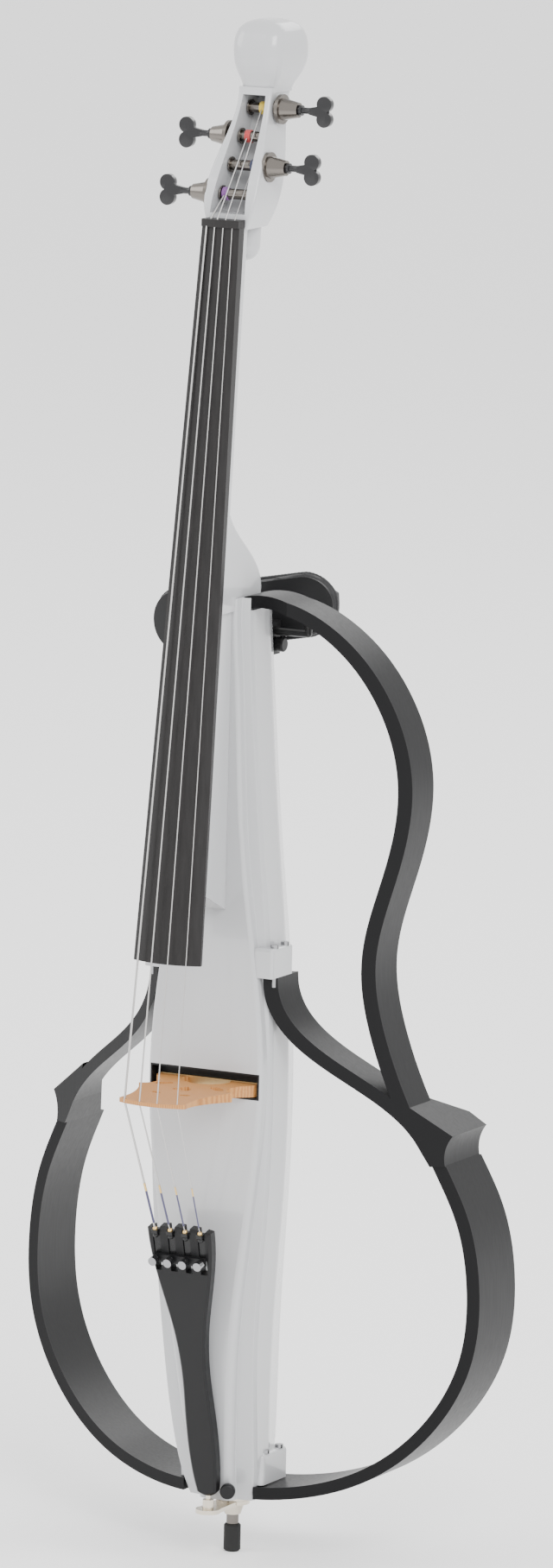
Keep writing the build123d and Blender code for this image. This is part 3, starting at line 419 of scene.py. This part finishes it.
# ------------------------------------------------------------------ settings
class CelloColours(bpy.types.PropertyGroup):
    pearl: FloatVectorProperty(name="Body lacquer", description="White of the body, neck and head",
                               default=(0.44, 0.445, 0.455), subtype="COLOR", min=0, max=1)
    frame: FloatVectorProperty(name="Frame lacquer", description="Black of the open frame",
                               default=(0.004, 0.004, 0.0045), subtype="COLOR", min=0, max=1)
    board: FloatVectorProperty(name="Fingerboard", description="Blackened hardwood",
                               default=(0.012, 0.011, 0.011), subtype="COLOR", min=0, max=1)
    bridge: FloatVectorProperty(name="Bridge wood", description="Bare maple",
                                default=(0.56, 0.28, 0.095), subtype="COLOR", min=0, max=1)
    pad: FloatVectorProperty(name="Pad cover", description="Cover of the chest pad",
                             default=(0.014, 0.014, 0.015), subtype="COLOR", min=0, max=1)
    silk_a: FloatVectorProperty(name="A silk", description="Thread on the first string",
                                default=(0.02, 0.03, 0.09), subtype="COLOR", min=0, max=1)
    silk_d: FloatVectorProperty(name="D silk", description="Thread on the second string",
                                default=(0.75, 0.55, 0.05), subtype="COLOR", min=0, max=1)
    silk_g: FloatVectorProperty(name="G silk", description="Thread on the third string",
                                default=(0.5, 0.03, 0.03), subtype="COLOR", min=0, max=1)
    silk_c: FloatVectorProperty(name="C silk", description="Thread on the fourth string",
                                default=(0.22, 0.06, 0.3), subtype="COLOR", min=0, max=1)
    tail_silk: FloatVectorProperty(name="Tail silk", description="Thread below the bridge",
                                   default=(0.05, 0.045, 0.12), subtype="COLOR", min=0, max=1)


class CelloSizes(bpy.types.PropertyGroup):
    key_edge: FloatProperty(name="Key edge", description="Rounding of the tuning keys",
                            default=0.0016, unit="LENGTH", min=0)
    thread: FloatProperty(name="Thread", description="How far the thread stands out from a string",
                          default=0.00025, unit="LENGTH", min=0)
    pitch: FloatProperty(name="Thread pitch", description="Spacing of the thread's turns",
                         default=0.0006, unit="LENGTH", min=0.0001)
    post_radius: FloatProperty(name="Post radius", description="Radius that the silk is wound on",
                               default=0.0042, unit="LENGTH", min=0)
    ball: FloatProperty(name="Ball end", description="Radius of the brass ball at a string's lower end",
                        default=0.0021, unit="LENGTH", min=0)
    piping: FloatProperty(name="Piping", description="Radius of the piping round the chest pad",
                          default=0.0016, unit="LENGTH", min=0)
    stitch: FloatProperty(name="Stitch", description="Spacing of the stitches on the piping",
                          default=0.003, unit="LENGTH", min=0.0005)
    pad_voxel: FloatProperty(name="Pad mesh", description="Mesh size of the chest pad",
                             default=0.004, unit="LENGTH", min=0.002)
    pad_cap: FloatProperty(name="Pad swell", description="Farthest that the pad's cover may swell",
                           default=0.003, unit="LENGTH", min=0)
    pad_frames: IntProperty(name="Pad frames", description="Steps the pad is inflated for",
                            default=20, min=1)


class CelloStage(bpy.types.PropertyGroup):
    floor: FloatProperty(name="Floor", description="Half width of the floor", default=30.0,
                         unit="LENGTH", min=1)
    key_light: FloatProperty(name="Key light", description="Power of the main soft light",
                             default=300.0, unit="POWER", min=0)
    fill_light: FloatProperty(name="Fill light", description="Power of the side and rear lights",
                              default=120.0, unit="POWER", min=0)


# ------------------------------------------------------------------ operators
class CELLO_OT_finishes(bpy.types.Operator):
    """Give every CAD node its finish"""
    bl_idname = "cello.finishes"
    bl_label = "Finishes"

    def execute(self, context):
        FINISHES.update(make_finishes())
        for node, made in frame["nodes"].items():
            made.data.materials.clear()
            made.data.materials.append(FINISHES[SLOT_OF[node]].material)
        return {"FINISHED"}


class CELLO_OT_keys(bpy.types.Operator):
    """Round the four tuning keys and the volume knob"""
    bl_idname = "cello.keys"
    bl_label = "Rounded keys"

    def execute(self, context):
        width = context.scene.cello_sizes.key_edge
        for string in STRINGS:
            rounded(f"key_{string}", f"rounded_key_{string}", width)
        rounded("volume_knob", "rounded_volume_knob", width / 2)
        return {"FINISHED"}


class CELLO_OT_pad(bpy.types.Operator):
    """Cover of the chest pad, swollen over its foam, with piping round its edge"""
    bl_idname = "cello.pad"
    bl_label = "Chest pad"

    def execute(self, context):
        sizes = context.scene.cello_sizes
        made = merged_copy("chest_pad", "chest_pad_cover")
        shape = made.modifiers.new("skin", "REMESH")
        shape.mode = "VOXEL"
        shape.voxel_size = sizes.pad_voxel
        applied(made)
        middle = sum((v.co for v in made.data.vertices), Vector()) / len(made.data.vertices)
        for vertex in made.data.vertices:
            vertex.co = middle + (vertex.co - middle) * PAD_SHRINK
        inflate(made, sizes)
        smooth = made.modifiers.new("smooth", "SUBSURF")
        smooth.levels = 1
        smooth.render_levels = 1
        applied(made)
        made.data.shade_smooth()
        stand_for(made, "chest_pad")
        wound("chest_pad_piping", pad_rim(made, sizes.piping), sizes.piping, sizes.stitch, PIPING_RIDGE,
              FINISHES["pad_foam"], winding_tree(), body_of_node("chest_pad"))
        return {"FINISHED"}


def pad_rim(cover, piping):
    """Closed path round the cover's edge, sunk in it by half the piping's radius."""
    points = [v.co for v in cover.data.vertices]
    middle = sum(points, Vector()) / len(points)
    rim = []
    for index in geometry.convex_hull_2d([(p.x, p.z) for p in points]):
        corner = points[index]
        near = [p.y for p in points if math.hypot(p.x - corner.x, p.z - corner.z) < PAD_EDGE_REACH]
        inward = Vector((middle.x - corner.x, 0, middle.z - corner.z)).normalized()
        spot = Vector((corner.x, (min(near) + max(near)) / 2, corner.z))
        rim.append(spot + inward * piping / 2)
    return rim + rim[:1]


def inflate(made, sizes):
    """Swell a closed cover with air, no point farther than the cap."""
    rest = [v.co.copy() for v in made.data.vertices]
    cloth = made.modifiers.new("air", "CLOTH")
    cloth.settings.use_pressure = True
    cloth.settings.uniform_pressure_force = PAD_PRESSURE
    cloth.settings.effector_weights.gravity = 0.0
    cloth.point_cache.frame_start = 1
    cloth.point_cache.frame_end = sizes.pad_frames
    scene = bpy.context.scene
    for step in range(1, sizes.pad_frames + 1):
        scene.frame_set(step)
    applied(made)
    for vertex, start in zip(made.data.vertices, rest):
        moved = vertex.co - start
        if moved.length > sizes.pad_cap:
            vertex.co = start + moved.normalized() * sizes.pad_cap
    scene.frame_set(1)


class CELLO_OT_windings(bpy.types.Operator):
    """Thread on the strings below the bridge and on the posts, and the strings' ball ends"""
    bl_idname = "cello.windings"
    bl_label = "String windings"

    def execute(self, context):
        sizes, colours = context.scene.cello_sizes, context.scene.cello_colours
        tree = winding_tree()
        gold = metal("gold_wrap", GOLD, 0.3)
        tail = silk("tail_silk", colours.tail_silk)
        for string in STRINGS:
            node = f"string_{string}"
            low_end = min(v.co.z for v in frame["nodes"][node].data.vertices)
            bottom = centre_near(node, low_end, LOW_END_REACH)
            along = centre_near(node, BRIDGE_HEIGHT, BRIDGE_REACH) - bottom
            radius = thickness(node) / 2 + sizes.thread
            for name, start, end, finish in (("tail_silk", SILK_FROM, SILK_TO, tail),
                                             ("gold_wrap", SILK_TO, WRAP_TO, gold)):
                wound(f"{name}_{string}", [bottom + along * start, bottom + along * end], radius, sizes.pitch,
                      THREAD_RIDGE, finish, tree, "instrument")
            post_thread(string, sizes, silk(f"post_silk_{string}", getattr(colours, f"silk_{string}")), tree)
            ball_end(string, bottom, sizes.ball, gold)
        return {"FINISHED"}


def post_thread(string, sizes, finish, tree):
    """Silk-covered end of a string, wound round its post."""
    node = f"string_{string}"
    high = max(v.co.z for v in frame["nodes"][node].data.vertices)
    spot = centre_near(node, high, POST_REACH)
    low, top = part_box(f"post_{string}")
    middle = (low + top) / 2
    reach = sizes.post_radius + sizes.thread * 2
    steps = POST_TURNS * TURN_POINTS
    path = []
    for step in range(steps + 1):
        turn = 2 * math.pi * step / TURN_POINTS
        across = (step / steps - 0.5) * POST_TURNS * sizes.pitch * POST_SPREAD
        path.append(Vector((spot.x + across, middle.y + reach * math.cos(turn),
                            middle.z + reach * math.sin(turn))))
    wound(f"post_thread_{string}", path, sizes.pitch * POST_THREAD, sizes.pitch * 2, POST_RIDGE, finish, tree,
          f"peg_post_{string}")


def ball_end(string, spot, radius, finish):
    """Brass ball at the lower end of a string, held by the fine tuner's lever."""
    name = f"ball_end_{string}"
    work = bmesh.new()
    bmesh.ops.create_icosphere(work, subdivisions=3, radius=radius)
    bmesh.ops.translate(work, verts=work.verts, vec=spot)
    mesh = bpy.data.meshes.new(name)
    work.to_mesh(mesh)
    work.free()
    mesh.materials.append(finish.material)
    mesh.shade_smooth()
    made = bpy.data.objects.new(name, mesh)
    bpy.context.scene.collection.objects.link(made)
    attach(made, body_of_node(f"fine_lever_{string}"))


def thickness(node):
    """Width across X of the vertices of a string that lie nearest the height of the nut.

    The slice can miss a ring's widest points: the thickest string reads about a tenth low.
    """
    points = [v.co for v in frame["nodes"][node].data.vertices]
    near = min(abs(p.z - NUT_HEIGHT) for p in points)
    ring = [p.x for p in points if abs(abs(p.z - NUT_HEIGHT) - near) < RING_REACH]
    return max(ring) - min(ring)


class CELLO_OT_stage(bpy.types.Operator):
    """Pale floor, soft lights and the camera"""
    bl_idname = "cello.stage"
    bl_label = "Stage"

    def execute(self, context):
        settings = context.scene.cello_stage
        reach = settings.floor
        mesh = bpy.data.meshes.new("floor")
        mesh.from_pydata([(-reach, -reach, 0), (reach, -reach, 0), (reach, reach, 0), (-reach, reach, 0)],
                         [], [(0, 1, 2, 3)])
        floor = bpy.data.objects.new("floor", mesh)
        context.scene.collection.objects.link(floor)
        pale = Finish("pale_floor", (0.97, 0.97, 0.97), 0.9, specular=0.1)
        mesh.materials.append(pale.material)
        world = bpy.data.worlds.new("studio")
        world.use_nodes = True
        world.node_tree.nodes["Background"].inputs[0].default_value = (1.0, 1.0, 1.0, 1.0)
        world.node_tree.nodes["Background"].inputs[1].default_value = SKY_STRENGTH
        context.scene.world = world
        for name, power in (("key", settings.key_light), ("fill", settings.fill_light),
                            ("rear", settings.fill_light)):
            soft_light(name, *LIGHTS[name], power)
        aim_camera(context.scene)
        return {"FINISHED"}


def soft_light(name, spot, width, power):
    """Square soft light that faces the middle of the cello."""
    data = bpy.data.lights.new(name, "AREA")
    data.size = width
    data.energy = power
    made = bpy.data.objects.new(name, data)
    made.location = spot
    made.rotation_mode = "QUATERNION"
    made.rotation_quaternion = (LIGHT_TARGET - Vector(spot)).to_track_quat("-Z", "Y")
    bpy.context.scene.collection.objects.link(made)


def aim_camera(scene):
    """Long lens, well round to the right, a little above and leaning slightly."""
    azimuth, height, lean = (math.radians(angle) for angle in (VIEW_ROUND, VIEW_HEIGHT, VIEW_LEAN))
    back = Vector((math.sin(azimuth) * math.cos(height), -math.cos(azimuth) * math.cos(height),
                   math.sin(height)))
    data = bpy.data.cameras.new("camera")
    data.sensor_width = SENSOR_WIDTH
    data.lens = LENS
    camera = bpy.data.objects.new("camera", data)
    camera.location = VIEW_FROM + back * VIEW_DISTANCE
    sight = SIGHT_POINT - camera.location
    camera.rotation_mode = "QUATERNION"
    camera.rotation_quaternion = sight.to_track_quat("-Z", "Y") @ Quaternion((0, 0, 1), lean)
    scene.collection.objects.link(camera)
    scene.camera = camera


class CELLO_PT_panel(bpy.types.Panel):
    """Lists the cello's steps"""
    bl_idname = "CELLO_PT_panel"
    bl_label = "Cello"
    bl_space_type = "VIEW_3D"
    bl_region_type = "UI"
    bl_category = "Cello"

    def draw(self, context):
        for operator in OPERATORS:
            self.layout.operator(operator.bl_idname)


OPERATORS = (CELLO_OT_finishes, CELLO_OT_keys, CELLO_OT_pad, CELLO_OT_windings, CELLO_OT_stage)
GROUPS = (CelloColours, CelloSizes, CelloStage)


def register():
    for made in (*GROUPS, *OPERATORS, CELLO_PT_panel):
        bpy.utils.register_class(made)
    bpy.types.Scene.cello_colours = PointerProperty(type=CelloColours)
    bpy.types.Scene.cello_sizes = PointerProperty(type=CelloSizes)
    bpy.types.Scene.cello_stage = PointerProperty(type=CelloStage)


def unregister():
    del bpy.types.Scene.cello_stage
    del bpy.types.Scene.cello_sizes
    del bpy.types.Scene.cello_colours
    for made in (CELLO_PT_panel, *reversed(OPERATORS), *reversed(GROUPS)):
        bpy.utils.unregister_class(made)


def main():
    register()
    bpy.ops.cello.finishes()
    bpy.ops.cello.keys()
    bpy.ops.cello.pad()
    bpy.ops.cello.windings()
    bpy.ops.cello.stage()


if __name__ == "__main__":
    main()
